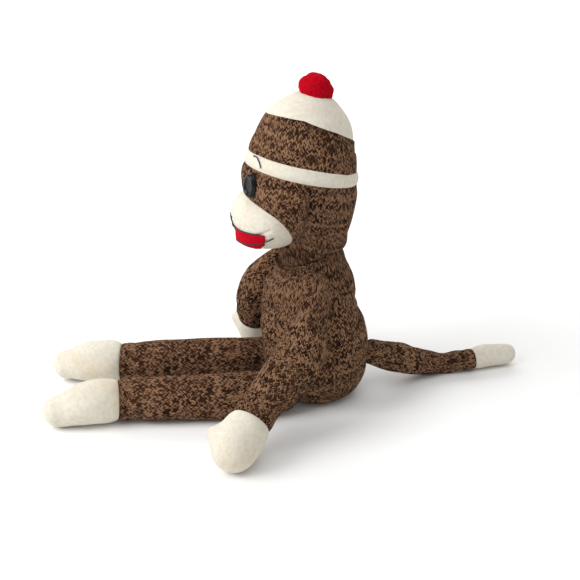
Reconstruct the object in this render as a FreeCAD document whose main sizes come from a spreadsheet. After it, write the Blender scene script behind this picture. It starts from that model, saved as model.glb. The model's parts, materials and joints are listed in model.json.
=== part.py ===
import FreeCAD, Part
import math
import os
import sys

import Sketcher
from FreeCAD import Placement, Rotation, Vector

# A seated stuffed monkey sewn from marled sock knit and cream fleece.
# It faces -Y, its left side is +X, and it sits on Z = 0 with the middle of its seat at the origin.
# Every stuffed piece is a fabric shell around a solid filling. Limbs turn about ball-shaped roots
# that sit in shallow dimples of the body, each held by a ring of seam thread.

DIMENSIONS = {
    "fabric": 2.0,              # thickness of the knit or fleece with its backing
    "belly_radius": 45.5,
    "torso_height": 122.0,
    "seat_radius": 27.0,
    "neck_height": 131.0,
    "neck_back": -5.0,
    "neck_radius": 24.0,
    "dimple_gap": 0.6,
    "neck_seam_tilt": 8.0,
    "neck_seam_drop": 2.0,
    "head_radius": 47.6,
    "head_height": 131.0,
    "head_pitch": 12.0,
    "head_roll": 5.0,
    "band_bottom": 65.0,
    "band_width": 9.0,
    "cuff_width": 14.0,
    "cuff_depth": 2.5,
    "crown_seam": 107.0,
    "pompom_radius": 13.4,
    "pompom_lift": 6.0,
    "muzzle_halfwidth": 39.0,
    "muzzle_halfdepth": 34.0,
    "muzzle_halfheight": 28.0,
    "muzzle_forward": 40.4,
    "muzzle_up": 25.6,
    "chin_gap": 3.0,
    "mouth_felt": 1.0,
    "mouth_top": -11.5,
    "mouth_halfwidth": 32.0,
    "smile_height": -18.0,
    "eye_halfheight": 10.5,
    "eye_halfwidth": 8.5,
    "eye_dome": 4.2,
    "eye_angle": 30.0,
    "eye_up": 52.5,
    "stem_radius": 1.6,
    "stem_length": 8.0,
    "washer_radius": 6.0,
    "washer_thickness": 1.2,
    "washer_depth": 5.0,
    "thread_radius": 0.6,
    "ear_reach": 12.5,
    "ear_halfheight": 22.0,
    "ear_halfthickness": 4.2,
    "ear_up": 41.0,
    "ear_forward": 18.0,
    "ear_sweep": 20.0,
    "ear_gap": 1.6,
    "arm_radius": 18.5,
    "hand_radius": 18.2,
    "shoulder_ball": 11.5,
    "shoulder_side": 42.5,
    "shoulder_forward": 7.0,
    "shoulder_height": 117.0,
    "leg_radius": 18.2,
    "foot_radius": 19.5,
    "hip_ball": 16.0,
    "hip_side": 34.0,
    "hip_forward": 36.0,
    "hip_height": 18.0,
    "tail_radius": 12.3,
    "tail_tip_radius": 8.9,
    "tail_ball": 10.5,
    "tail_back": 49.0,
    "tail_height": 35.0,
    "seam_gap": 2.6,            # room between a limb's ball and its dimple
    "seam_thread_radius": 0.5,
}

SEAM_SPREAD = 28.0              # half angle of a root seam ring, seen from the joint
DOME_ANGLES = (25.0, 50.0, 70.0, 83.0)
ZONE_ROOM = 5.0                 # how far the boxes that trim the mouth reach past the muzzle
ZONE_AHEAD = 12.0               # how far in front of the muzzle those boxes start
SMILE_MARGIN = 2.0              # from the end of the smile line to the corner of the mouth

# Stations up the torso: height, backward offset and radius, as shares of the torso's height,
# the belly radius and the belly radius.
TORSO_STATIONS = (
    (0.025, 0.00, 0.66),
    (0.08, 0.00, 0.79),
    (0.18, 0.00, 0.92),
    (0.30, 0.00, 0.99),
    (0.42, -0.02, 0.995),
    (0.57, -0.09, 0.965),
    (0.72, -0.15, 0.885),
    (0.84, -0.155, 0.83),
    (0.93, -0.14, 0.75),
    (1.0, -0.12, 0.635),
)

# Stations up the head along its own axis: height, forward offset and radius, as shares of the
# head's height, the head radius and the head radius.
HEAD_STATIONS = (
    (0.069, 0.04, 0.57),
    (0.11, 0.11, 0.66),
    (0.20, 0.27, 0.82),
    (0.305, 0.41, 0.955),
    (0.42, 0.46, 1.0),
    (0.535, 0.483, 0.967),
    (0.64, 0.493, 0.905),
    (0.75, 0.50, 0.82),
    (0.825, 0.504, 0.755),
    (0.90, 0.504, 0.60),
    (0.96, 0.504, 0.40),
    (1.0, 0.504, 0.13),
)

# Points along each limb: x, y, z and radius share, from the joint outwards. The first share is of
# the ball at the root and the others are of the limb's own radius.
LEFT_ARM = (
    (53.5, -10.0, 103.0, 0.69),
    (64.0, -17.0, 80.0, 0.97),
    (80.0, -38.0, 53.0, 1.0),
    (101.0, -62.3, 30.6, 0.93),
)
LEFT_HAND = (
    (112.0, -70.0, 24.0, 1.03),
    (123.5, -77.5, 18.8, 0.99),
)
RIGHT_ARM = (
    (-54.3, -17.0, 104.0, 0.68),
    (-65.0, -38.0, 80.0, 0.97),
    (-72.0, -47.0, 55.0, 0.97),
    (-80.0, -48.0, 36.0, 0.92),
)
RIGHT_HAND = (
    (-86.0, -47.5, 25.0, 0.96),
    (-92.0, -46.0, 17.6, 0.92),
)
LEFT_LEG = (
    (36.0, -52.0, 18.0, 0.93),
    (38.0, -70.0, 18.4, 1.0),
    (37.5, -110.0, 18.4, 1.0),
    (36.5, -150.0, 18.4, 0.97),
    (36.5, -170.0, 18.2, 0.95),
)
RIGHT_LEG = (
    (-33.5, -53.0, 18.0, 0.90),
    (-31.0, -72.0, 18.4, 0.98),
    (-30.5, -110.0, 18.4, 0.98),
    (-31.5, -150.0, 18.2, 0.97),
    (-32.5, -170.0, 18.2, 0.95),
)
LEFT_FOOT = (
    (39.0, -184.0, 19.6, 0.98),
    (42.0, -202.0, 17.4, 0.87),
    (44.0, -219.0, 14.2, 0.67),
)
RIGHT_FOOT = (
    (-34.0, -184.0, 19.0, 0.96),
    (-36.0, -202.0, 17.6, 0.87),
    (-38.5, -217.5, 15.0, 0.68),
)
TAIL = (
    (-1.5, 60.0, 31.0, 0.98),
    (-6.0, 72.0, 26.5, 1.06),
    (-12.0, 86.0, 19.8, 0.98),
    (-18.0, 102.0, 13.6, 0.88),
    (-22.0, 122.0, 9.9, 0.75),
    (-25.5, 146.0, 10.4, 0.80),
)
TAIL_TIP = (
    (-29.0, 161.0, 11.0, 1.14),
    (-32.5, 178.5, 10.6, 0.97),
)

doc = FreeCAD.newDocument("stuffed_monkey")
sheet = doc.addObject("Spreadsheet::Sheet", "dims")
for row, (alias, value) in enumerate(DIMENSIONS.items(), start=1):
    sheet.set(f"A{row}", alias)
    sheet.set(f"B{row}", str(value))
    sheet.setAlias(f"B{row}", alias)
doc.recompute()

nodes = []


def size(alias):
    """A driving dimension's value."""
    return float(getattr(sheet, alias))


def node(name, item):
    """Keep an object as one of the model's pieces, under the piece's name."""
    item.Label = name
    nodes.append(item)
    return item


# ---- Small builders --------------------------------------------------------------------------

def facing(direction):
    """A rotation whose Z axis runs along a direction and whose X axis stays near +X."""
    forward = Vector(direction).normalize()
    across = forward.cross(Vector(1, 0, 0)).normalize()
    return Rotation(across.cross(forward), across, forward, "ZXY")


def along(origin, direction):
    return Placement(origin, Rotation(Vector(0, 0, 1), direction))


def loft_body(name, stations, placement=Placement()):
    """A body lofted through circles; a station is its centre, its direction and its radius text."""
    body = doc.addObject("PartDesign::Body", name)
    doc.recompute()
    plane = [item for item in body.Origin.OriginFeatures if item.Role == "XY_Plane"][0]
    rings = []
    for number, (centre, direction, radius) in enumerate(stations):
        ring = body.newObject("Sketcher::SketchObject", f"{name}_ring_{number}")
        ring.AttachmentSupport = (plane, [""])
        ring.MapMode = "FlatFace"
        ring.AttachmentOffset = Placement(centre, facing(direction))
        value = float(ring.evalExpression(radius))
        ring.addGeometry(Part.Circle(Vector(), Vector(0, 0, 1), value), False)
        ring.addConstraint(Sketcher.Constraint("Coincident", 0, 3, -1, 1))
        ring.addConstraint(Sketcher.Constraint("Radius", 0, value))
        ring.setExpression("Constraints[1]", radius)
        rings.append(ring)
    loft = body.newObject("PartDesign::AdditiveLoft", f"{name}_loft")
    loft.Profile = rings[0]
    loft.Sections = rings[1:]
    body.Placement = placement
    return body


def sphere(name, centre, radius):
    item = doc.addObject("Part::Sphere", name)
    item.setExpression("Radius", radius)
    item.Placement = Placement(centre, Rotation())
    return item


def ellipsoid(name, placement, along_x, along_y, along_z):
    item = doc.addObject("Part::Ellipsoid", name)
    item.setExpression("Radius1", along_z)
    item.setExpression("Radius2", along_x)
    item.setExpression("Radius3", along_y)
    item.Placement = placement
    return item


def cylinder(name, placement, radius, height):
    item = doc.addObject("Part::Cylinder", name)
    item.setExpression("Radius", radius)
    item.setExpression("Height", height)
    item.Placement = placement
    return item


def slab(name, placement, bottom, top, halfwidth=150.0):
    """A wide box between two heights of a placement's own Z axis."""
    item = doc.addObject("Part::Box", name)
    item.Length = 2 * halfwidth
    item.Width = 2 * halfwidth
    item.setExpression("Height", f"({top}) - ({bottom})")
    low = float(item.evalExpression(bottom))
    corner = Placement(Vector(-halfwidth, -halfwidth, low), Rotation())
    item.Placement = placement.multiply(corner)
    return item


def cut(name, base, tool):
    item = doc.addObject("Part::Cut", name)
    item.Base = base
    item.Tool = tool
    return item


def common(name, base, tool):
    item = doc.addObject("Part::Common", name)
    item.Base = base
    item.Tool = tool
    return item


def fuse(name, shapes):
    item = doc.addObject("Part::MultiFuse", name)
    item.Shapes = shapes
    return item


def dimpled(name, base, dimples):
    """A base with every dimple of a list taken out of it."""
    return cut(name, base, fuse(f"{name}_dimples", dimples) if len(dimples) > 1 else dimples[0])


# ---- Torso -----------------------------------------------------------------------------------

NECK = Vector(0, size("neck_back"), size("neck_height"))
SIDES = {"left": 1, "right": -1}


def shoulder(side):
    forward = size("shoulder_forward")
    return Vector(SIDES[side] * size("shoulder_side"), -forward, size("shoulder_height"))


def hip(side):
    return Vector(SIDES[side] * size("hip_side"), -size("hip_forward"), size("hip_height"))


TAIL_ROOT = Vector(0, size("tail_back"), size("tail_height"))

# Each joint dimple: its name, its centre and its radius text.
DIMPLES = [("neck", NECK, "dims.neck_radius + dims.dimple_gap")]
for limb_side in SIDES:
    DIMPLES.append((f"{limb_side}_shoulder", shoulder(limb_side), "dims.shoulder_ball + dims.seam_gap"))
    DIMPLES.append((f"{limb_side}_hip", hip(limb_side), "dims.hip_ball + dims.seam_gap"))
DIMPLES.append(("tail", TAIL_ROOT, "dims.tail_ball + dims.seam_gap"))


def torso_loft(name, inset):
    """The torso's outside moved in by an inset, on flat ends at the seat and the neck."""
    height = size("torso_height")
    belly = size("belly_radius")
    depth = size("fabric") if inset else 0.0
    stations = [(Vector(0, 0, depth), Vector(0, 0, 1), f"dims.seat_radius{inset}")]
    for share, back, width in TORSO_STATIONS:
        centre = Vector(0, back * belly, min(max(share * height, depth + 1), height - depth))
        stations.append((centre, Vector(0, 0, 1), f"dims.belly_radius * {width}{inset}"))
    return loft_body(name, stations)


def make_torso():
    outside = torso_loft("torso_outside", "")
    inside = torso_loft("torso_inside", " - dims.fabric")
    near = [sphere(f"{name}_dimple", centre, radius) for name, centre, radius in DIMPLES]
    deep = [sphere(f"{name}_deep", centre, f"{radius} + dims.fabric") for name, centre, radius in DIMPLES]
    stuffing = node("torso_stuffing", dimpled("torso_stuffing", inside, deep))
    skin = dimpled("torso_skin", outside, near)
    node("torso_shell", cut("torso_shell", skin, stuffing))


def make_neck():
    node("neck_plug", sphere("neck_plug", NECK, "dims.neck_radius"))
    seam = doc.addObject("Part::Torus", "neck_seam")
    seam.setExpression("Radius1", "dims.neck_radius + dims.thread_radius + 0.2")
    seam.setExpression("Radius2", "dims.thread_radius")
    tilt = Rotation(Vector(1, 0, 0), -size("neck_seam_tilt"))
    seam.Placement = Placement(NECK - Vector(0, 0, size("neck_seam_drop")), tilt)
    node("neck_seam", seam)


# ---- Head and hat ----------------------------------------------------------------------------

lean = Rotation(Vector(0, 1, 0), -size("head_roll"))
HEAD = Placement(NECK, lean.multiply(Rotation(Vector(1, 0, 0), -size("head_pitch"))))


def head_station(share):
    """The head's forward offset and radius at a share of its height, read between stations."""
    for low, high in zip(HEAD_STATIONS, HEAD_STATIONS[1:]):
        if low[0] <= share <= high[0]:
            part = (share - low[0]) / (high[0] - low[0])
            forward = low[1] + part * (high[1] - low[1])
            return forward * size("head_radius"), (low[2] + part * (high[2] - low[2])) * size("head_radius")
    raise ValueError("outside the head")


def head_point(angle, up, proud=0.0):
    """A point of the head's surface in its own frame, at an angle from the front to its left."""
    forward, radius = head_station(up / size("head_height"))
    turn = math.radians(angle)
    reach = radius + proud
    return Vector(reach * math.sin(turn), -forward - reach * math.cos(turn), up)


def head_loft(name, inset, first=0, last=None, depth=0.0):
    height = size("head_height")
    chosen = HEAD_STATIONS[first:last]
    stations = []
    for share, forward, width in chosen:
        up = min(max(share * height, chosen[0][0] * height + depth), height - depth)
        centre = Vector(0, -forward * size("head_radius"), up)
        stations.append((centre, Vector(0, 0, 1), f"dims.head_radius * {width}{inset}"))
    return loft_body(name, stations, HEAD)


def make_head():
    outside = head_loft("head_outside", "")
    inside = head_loft("head_inside", " - dims.fabric", depth=size("fabric"))
    socket = sphere("head_socket", NECK, "dims.neck_radius + dims.dimple_gap")
    deep_socket = sphere("head_deep_socket", NECK, "dims.neck_radius + dims.dimple_gap + dims.fabric")
    stems = fuse("eye_stems", [make_stem(side) for side in SIDES])
    washers = fuse("eye_washer_discs", [washer_disc(side) for side in SIDES])
    filling = cut("head_filling", inside, deep_socket)
    skin = cut("head_skin", outside, socket)
    layer = cut("head_layer", skin, filling)
    holes = fuse("eye_hardware", [stems, washers])
    node("head_stuffing", cut("head_stuffing", filling, holes))
    band_top = "dims.band_bottom + dims.band_width"
    face = common("face_layer", layer, slab("face_zone", HEAD, "-40", "dims.band_bottom"))
    node("head_shell", cut("head_shell", face, stems))
    zones = (
        ("forehead_band", "dims.band_bottom", band_top),
        ("hat_side", band_top, "dims.crown_seam"),
        ("hat_crown", "dims.crown_seam", "dims.head_height + 1"),
    )
    for name, bottom, top in zones:
        node(name, common(name, layer, slab(f"{name}_zone", HEAD, bottom, top)))
    full = head_loft("cuff_outside", " + dims.cuff_depth", first=4, last=9)
    cuff_zone = slab("cuff_zone", HEAD, band_top, f"{band_top} + dims.cuff_width")
    cuff = common("cuff_ring", full, cuff_zone)
    node("hat_cuff", cut("hat_cuff", cuff, outside))
    return outside


def make_pompom():
    forward = HEAD_STATIONS[-1][1] * size("head_radius")
    centre = HEAD.multVec(Vector(0, -forward, size("head_height") + size("pompom_lift")))
    ball = sphere("pompom_ball", centre, "dims.pompom_radius")
    core = sphere("pompom_core", centre, "dims.pompom_radius - 1.4")
    above = slab("pompom_zone", HEAD, "dims.head_height", "dims.head_height + 40")
    inner_zone = slab("pompom_inner_zone", HEAD, "dims.head_height + 1.4", "dims.head_height + 40")
    outer = common("pompom_outer", ball, above)
    filling = node("pompom_stuffing", common("pompom_stuffing", core, inner_zone))
    node("pompom_cover", cut("pompom_cover", outer, filling))


def eye_frame(side, depth=0.0):
    """The place of an eye: Y runs inwards from the head's surface and Z runs up the head."""
    angle = SIDES[side] * size("eye_angle")
    point = head_point(angle, size("eye_up"), -depth)
    return HEAD.multiply(Placement(point, Rotation(Vector(0, 0, 1), angle)))


def inward_tool(name, side, radius, height, depth):
    """A cylinder pointing out of the head through an eye, from a depth under the surface."""
    turned = Placement(Vector(), Rotation(Vector(1, 0, 0), 90))
    return cylinder(name, eye_frame(side, depth).multiply(turned), radius, height)


def make_stem(side):
    return inward_tool(f"{side}_eye_stem", side, "dims.stem_radius", "dims.stem_length + 1", size("stem_length"))


def washer_disc(side):
    depth = size("washer_depth") + size("washer_thickness")
    return inward_tool(f"{side}_washer_disc", side, "dims.washer_radius", "dims.washer_thickness", depth)


def make_eyes(head_outside):
    for side in SIDES:
        dome = ellipsoid(f"{side}_eye_dome", eye_frame(side, 0.4), "dims.eye_halfwidth", "dims.eye_dome",
                         "dims.eye_halfheight")
        cap = cut(f"{side}_eye_cap", dome, head_outside)
        stem = doc.getObject(f"{side}_eye_stem")
        node(f"{side}_eye", fuse(f"{side}_eye", [cap, stem]))
        disc = doc.getObject(f"{side}_washer_disc")
        node(f"{side}_eye_washer", cut(f"{side}_eye_washer", disc, stem))


def path_stations(points, radii):
    """Stations along points: each circle faces along the path."""
    stations = []
    for number, point in enumerate(points):
        before = points[max(number - 1, 0)]
        after = points[min(number + 1, len(points) - 1)]
        stations.append((point, after - before, radii[number]))
    return stations


def thread(name, points, surface, radius="dims.thread_radius"):
    """A stitched thread lying on a surface, with the half below the surface taken off."""
    body = loft_body(f"{name}_strand", path_stations(points, [radius] * len(points)))
    return cut(name, body, surface)


def make_brows(head_outside):
    band_middle = size("band_bottom") + size("band_width") / 2
    for side, sign in SIDES.items():
        marks = ((28, 1.2), (33, 2.6), (38, 1.2), (42, -2.4))
        points = [HEAD.multVec(head_point(sign * angle, band_middle + up)) for angle, up in marks]
        node(f"{side}_brow", thread(f"{side}_brow", points, head_outside))


# ---- Muzzle ----------------------------------------------------------------------------------

level = Rotation(Vector(1, 0, 0), size("head_pitch"))
MUZZLE = HEAD.multiply(Placement(Vector(0, -size("muzzle_forward"), size("muzzle_up")), level))


def muzzle_ellipsoid(name, inset):
    return ellipsoid(name, MUZZLE, f"dims.muzzle_halfwidth{inset}", f"dims.muzzle_halfdepth{inset}",
                     f"dims.muzzle_halfheight{inset}")


def muzzle_point(side_angle, up_angle, proud):
    """A point of the muzzle, by its angle to the left of the front and its angle above the middle."""
    turn = math.radians(side_angle)
    rise = math.radians(up_angle)
    across = (size("muzzle_halfwidth") + proud) * math.sin(turn) * math.cos(rise)
    forward = (size("muzzle_halfdepth") + proud) * math.cos(turn) * math.cos(rise)
    up = (size("muzzle_halfheight") + proud) * math.sin(rise)
    return MUZZLE.multVec(Vector(across, -forward, up))


def make_muzzle(head_outside):
    chin = sphere("chin_room", NECK, "dims.neck_radius + dims.chin_gap")
    deep_chin = sphere("chin_deep_room", NECK, "dims.neck_radius + dims.chin_gap + dims.fabric")
    behind = fuse("behind_muzzle", [head_outside, chin])
    deep_behind = fuse("behind_muzzle_filling", [head_outside, deep_chin])
    outer = cut("muzzle_outer", muzzle_ellipsoid("muzzle_bulb", ""), behind)
    inner = cut("muzzle_stuffing", muzzle_ellipsoid("muzzle_core", " - dims.fabric"), deep_behind)
    node("muzzle_stuffing", inner)
    node("muzzle_shell", cut("muzzle_shell", outer, inner))
    felt = muzzle_ellipsoid("felt_bulb", " + dims.mouth_felt")
    zone = doc.addObject("Part::Box", "mouth_zone")
    zone.setExpression("Length", "2 * dims.mouth_halfwidth")
    zone.setExpression("Width", f"dims.muzzle_halfdepth + {ZONE_ROOM}")
    zone.setExpression("Height", f"dims.muzzle_halfheight + dims.mouth_top + {ZONE_ROOM}")
    depth = size("muzzle_halfdepth") + ZONE_ROOM + ZONE_AHEAD
    low = -size("muzzle_halfheight") - ZONE_ROOM
    corner = Placement(Vector(-size("mouth_halfwidth"), -depth, low), Rotation())
    zone.Placement = MUZZLE.multiply(corner)
    patch = common("felt_zone", felt, zone)
    bulb = muzzle_ellipsoid("muzzle_face", "")
    lips = cut("lips", patch, bulb)
    node("mouth_patch", cut("mouth_patch", lips, head_outside))
    raised = muzzle_ellipsoid("smile_bulb", " + dims.mouth_felt + dims.thread_radius")
    line = doc.addObject("Part::Box", "smile_zone")
    line.setExpression("Length", f"2 * dims.mouth_halfwidth - 2 * {SMILE_MARGIN}")
    line.setExpression("Width", f"dims.muzzle_halfdepth + {ZONE_ROOM}")
    line.setExpression("Height", "2 * dims.thread_radius")
    corner = Placement(Vector(SMILE_MARGIN - size("mouth_halfwidth"), -depth, size("smile_height")), Rotation())
    line.Placement = MUZZLE.multiply(corner)
    strip = common("smile_strip", raised, line)
    node("smile_thread", cut("smile_thread", strip, muzzle_ellipsoid("felt_face", " + dims.mouth_felt")))
    stitches = []
    for side, sign in SIDES.items():
        curl = [(8 + 3.5 * math.cos(math.radians(a)), -2 + 4.5 * math.sin(math.radians(a)))
                for a in (40, 90, 140, 180, 220, 270, 320)]
        points = [muzzle_point(sign * turn, rise, 0.0) for turn, rise in curl]
        stitches.append(thread(f"{side}_nostril", points, muzzle_ellipsoid(f"{side}_nose_face", "")))
    node("nostril_stitches", fuse("nostril_stitches", stitches))


def make_ears():
    for side, sign in SIDES.items():
        forward, radius = head_station(size("ear_up") / size("head_height"))
        root_round = size("ear_halfthickness") ** 2 / size("ear_reach")
        pivot = Vector(sign * (radius + size("ear_gap") + root_round), -size("ear_forward"), size("ear_up"))
        sweep = Rotation(Vector(0, 0, 1), -sign * size("ear_sweep"))
        reach = Vector(sign * (size("ear_reach") - root_round), 0, 0)
        place = HEAD.multiply(Placement(pivot, sweep)).multiply(Placement(reach, Rotation()))
        node(f"{side}_ear", ellipsoid(f"{side}_ear", place, "dims.ear_reach", "dims.ear_halfthickness",
                                      "dims.ear_halfheight"))


# ---- Limbs -----------------------------------------------------------------------------------

def limb_stations(root, ball, sleeve, sleeve_radius, end, end_radius, inset):
    """Circles from a ball-shaped root, along the sleeve and the end, to a domed tip."""
    points = [root] + [Vector(*row[:3]) for row in sleeve + end]
    radii = [ball] + [f"{sleeve_radius} * {row[3]}" for row in sleeve] + [f"{end_radius} * {row[3]}" for row in end]
    radii = [f"{text}{inset}" for text in radii]
    stations = path_stations(points, radii)
    scale = size("fabric") if inset else 0.0
    first = Vector(points[1] - points[0]).normalize()
    ball_value = float(sheet.evalExpression(ball)) - scale
    heel = []
    for angle in reversed(DOME_ANGLES):
        turn = math.radians(angle)
        centre = root - first * (ball_value * math.sin(turn))
        heel.append((centre, first, f"({radii[0]}) * {math.cos(turn):.4f}"))
    last = Vector(points[-1] - points[-2]).normalize()
    tip_value = float(sheet.evalExpression(radii[-1]))
    toe = []
    for angle in DOME_ANGLES:
        turn = math.radians(angle)
        centre = points[-1] + last * (tip_value * math.sin(turn))
        toe.append((centre, last, f"({radii[-1]}) * {math.cos(turn):.4f}"))
    return heel + stations + toe


def make_limb(name, end_name, root, ball, sleeve, sleeve_radius, end, end_radius):
    """A sleeve and its cream end as two shells around one filling."""
    arguments = (root, ball, sleeve, sleeve_radius, end, end_radius)
    outer = loft_body(f"{name}_outside", limb_stations(*arguments, ""))
    inner = loft_body(f"{name}_filling", limb_stations(*arguments, " - dims.fabric"))
    layer = cut(f"{name}_layer", outer, inner)
    seam = Vector(*sleeve[-1][:3])
    beyond = slab(f"{name}_end_zone", along(seam, Vector(*end[0][:3]) - Vector(*sleeve[-2][:3])), "0", "150")
    node(f"{name}_shell", cut(f"{name}_shell", layer, beyond))
    node(end_name, common(end_name, layer, beyond))
    node(f"{name}_stuffing", inner)


def make_root_seam(name, root, ball):
    """The ring of thread that closes a limb's root, inside its dimple."""
    middle = float(sheet.evalExpression(ball)) + size("seam_gap") / 2
    inward = Vector(-root.x, -root.y, 0).normalize()
    spread = math.radians(SEAM_SPREAD)
    ring = doc.addObject("Part::Torus", name)
    ring.setExpression("Radius1", f"({ball} + dims.seam_gap / 2) * {math.sin(spread):.5f}")
    ring.setExpression("Radius2", "dims.seam_thread_radius")
    ring.Placement = along(root + inward * (middle * math.cos(spread)), inward)
    node(name, ring)


def make_limbs():
    arms = {"left": (LEFT_ARM, LEFT_HAND), "right": (RIGHT_ARM, RIGHT_HAND)}
    legs = {"left": (LEFT_LEG, LEFT_FOOT), "right": (RIGHT_LEG, RIGHT_FOOT)}
    for side in SIDES:
        sleeve, hand = arms[side]
        make_limb(f"{side}_arm", f"{side}_hand", shoulder(side), "dims.shoulder_ball", sleeve,
                  "dims.arm_radius", hand, "dims.hand_radius")
        make_root_seam(f"{side}_shoulder_seam", shoulder(side), "dims.shoulder_ball")
        leg, foot = legs[side]
        make_limb(f"{side}_leg", f"{side}_foot", hip(side), "dims.hip_ball", leg,
                  "dims.leg_radius", foot, "dims.foot_radius")
        make_root_seam(f"{side}_hip_seam", hip(side), "dims.hip_ball")
    make_limb("tail", "tail_tip", TAIL_ROOT, "dims.tail_ball", TAIL, "dims.tail_radius", TAIL_TIP,
              "dims.tail_tip_radius")
    make_root_seam("tail_seam", TAIL_ROOT, "dims.tail_ball")


make_torso()
make_neck()
head_surface = make_head()
make_pompom()
make_eyes(head_surface)
make_brows(head_surface)
make_muzzle(head_surface)
make_ears()
make_limbs()
doc.recompute()

failed = [item.Name for item in doc.Objects if "Invalid" in item.State or "Error" in item.State]
if failed:
    sys.exit(f"failed objects: {failed}")
for item in nodes:
    if item.Shape.isNull() or not item.Shape.isValid() or not item.Shape.Solids:
        sys.exit(f"bad shape: {item.Label}")

os.makedirs("parts", exist_ok=True)
for item in nodes:
    item.Shape.exportStep(f"parts/{item.Label}.step")
    box = item.Shape.optimalBoundingBox()
    print(f"{item.Label}: {len(item.Shape.Solids)} solids, {item.Shape.Volume / 1000:.2f} cm3, "
          f"x {box.XMin:.1f}..{box.XMax:.1f} y {box.YMin:.1f}..{box.YMax:.1f} z {box.ZMin:.1f}..{box.ZMax:.1f}")
print(len(nodes), "pieces")
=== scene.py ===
"""The looks of the stuffed sock monkey: knit skins, fleece, felt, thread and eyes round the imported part."""

import json
import math

import bpy
import numpy as np
from mathutils import Matrix, Vector, noise
from mathutils.bvhtree import BVHTree


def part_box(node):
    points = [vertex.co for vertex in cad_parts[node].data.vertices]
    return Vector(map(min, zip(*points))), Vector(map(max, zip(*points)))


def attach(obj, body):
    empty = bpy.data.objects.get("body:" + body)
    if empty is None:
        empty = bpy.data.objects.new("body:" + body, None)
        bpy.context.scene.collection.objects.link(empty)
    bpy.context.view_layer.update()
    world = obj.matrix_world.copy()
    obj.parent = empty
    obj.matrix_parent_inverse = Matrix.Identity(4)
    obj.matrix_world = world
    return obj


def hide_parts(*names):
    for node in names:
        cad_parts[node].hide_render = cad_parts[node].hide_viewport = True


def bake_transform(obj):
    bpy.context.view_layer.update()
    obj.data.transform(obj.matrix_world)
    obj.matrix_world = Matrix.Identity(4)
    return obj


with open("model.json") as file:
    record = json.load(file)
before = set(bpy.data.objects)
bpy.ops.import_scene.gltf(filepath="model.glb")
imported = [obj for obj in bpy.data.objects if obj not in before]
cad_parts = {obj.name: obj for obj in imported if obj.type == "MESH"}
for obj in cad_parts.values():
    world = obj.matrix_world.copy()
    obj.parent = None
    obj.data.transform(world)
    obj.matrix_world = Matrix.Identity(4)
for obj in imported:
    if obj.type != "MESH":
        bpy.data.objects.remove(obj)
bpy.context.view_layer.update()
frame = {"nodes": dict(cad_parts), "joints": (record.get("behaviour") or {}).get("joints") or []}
scene = bpy.context.scene

MM = 0.001
SIDES = {"left": 1, "right": -1}

# ---- Camera, light and floor -------------------------------------------------------------------

CAMERA_PLACE = Vector((0.8966, -0.1034, 0.500))
CAMERA_AIM = Vector((0.0049, -0.0235, 0.0990))
CAMERA_LENS = 72.2  # mm, on Blender's 36 mm sensor

KEY_LIGHT = {"place": (0.45, -1.5, 1.15), "size": 1.2, "power": 27}
TOP_LIGHT = {"place": (0.6, 0.0, 1.9), "size": 1.6, "power": 9}
FAR_LIGHT = {"place": (-2.6, 0.0, 1.6), "size": 3.0, "power": 55, "aim": Vector((-2.6, 0.0, 0.0))}
SKY = 0.52
FLOOR_SIDE = 12.0


def make_camera():
    data = bpy.data.cameras.new("camera")
    data.lens = CAMERA_LENS
    camera = bpy.data.objects.new("camera", data)
    scene.collection.objects.link(camera)
    camera.location = CAMERA_PLACE
    camera.rotation_euler = (CAMERA_AIM - CAMERA_PLACE).to_track_quat("-Z", "Y").to_euler()
    scene.camera = camera


def make_light(name, place, size, power, aim=CAMERA_AIM):
    data = bpy.data.lights.new(name, "AREA")
    data.size = size
    data.energy = power
    light = bpy.data.objects.new(name, data)
    scene.collection.objects.link(light)
    light.location = place
    light.rotation_euler = (aim - Vector(place)).to_track_quat("-Z", "Y").to_euler()


def make_studio():
    make_light("key_light", **KEY_LIGHT)
    make_light("top_light", **TOP_LIGHT)
    make_light("far_light", **FAR_LIGHT)
    world = bpy.data.worlds.new("sky")
    world.use_nodes = True
    world.node_tree.nodes["Background"].inputs["Color"].default_value = (1, 1, 1, 1)
    world.node_tree.nodes["Background"].inputs["Strength"].default_value = SKY
    scene.world = world
    scene.view_settings.view_transform = "Standard"
    mesh = bpy.data.meshes.new("floor")
    half = FLOOR_SIDE / 2
    corners = [(-half, -half, 0), (half, -half, 0), (half, half, 0), (-half, half, 0)]
    mesh.from_pydata(corners, [], [(0, 1, 2, 3)])
    floor = bpy.data.objects.new("floor", mesh)
    scene.collection.objects.link(floor)
    paint = bpy.data.materials.new("floor_paint")
    paint.use_nodes = True
    shader = paint.node_tree.nodes["Principled BSDF"]
    shader.inputs["Base Color"].default_value = (0.93, 0.93, 0.925, 1)
    shader.inputs["Roughness"].default_value = 0.9
    mesh.materials.append(paint)


# ---- Materials ---------------------------------------------------------------------------------

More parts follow.
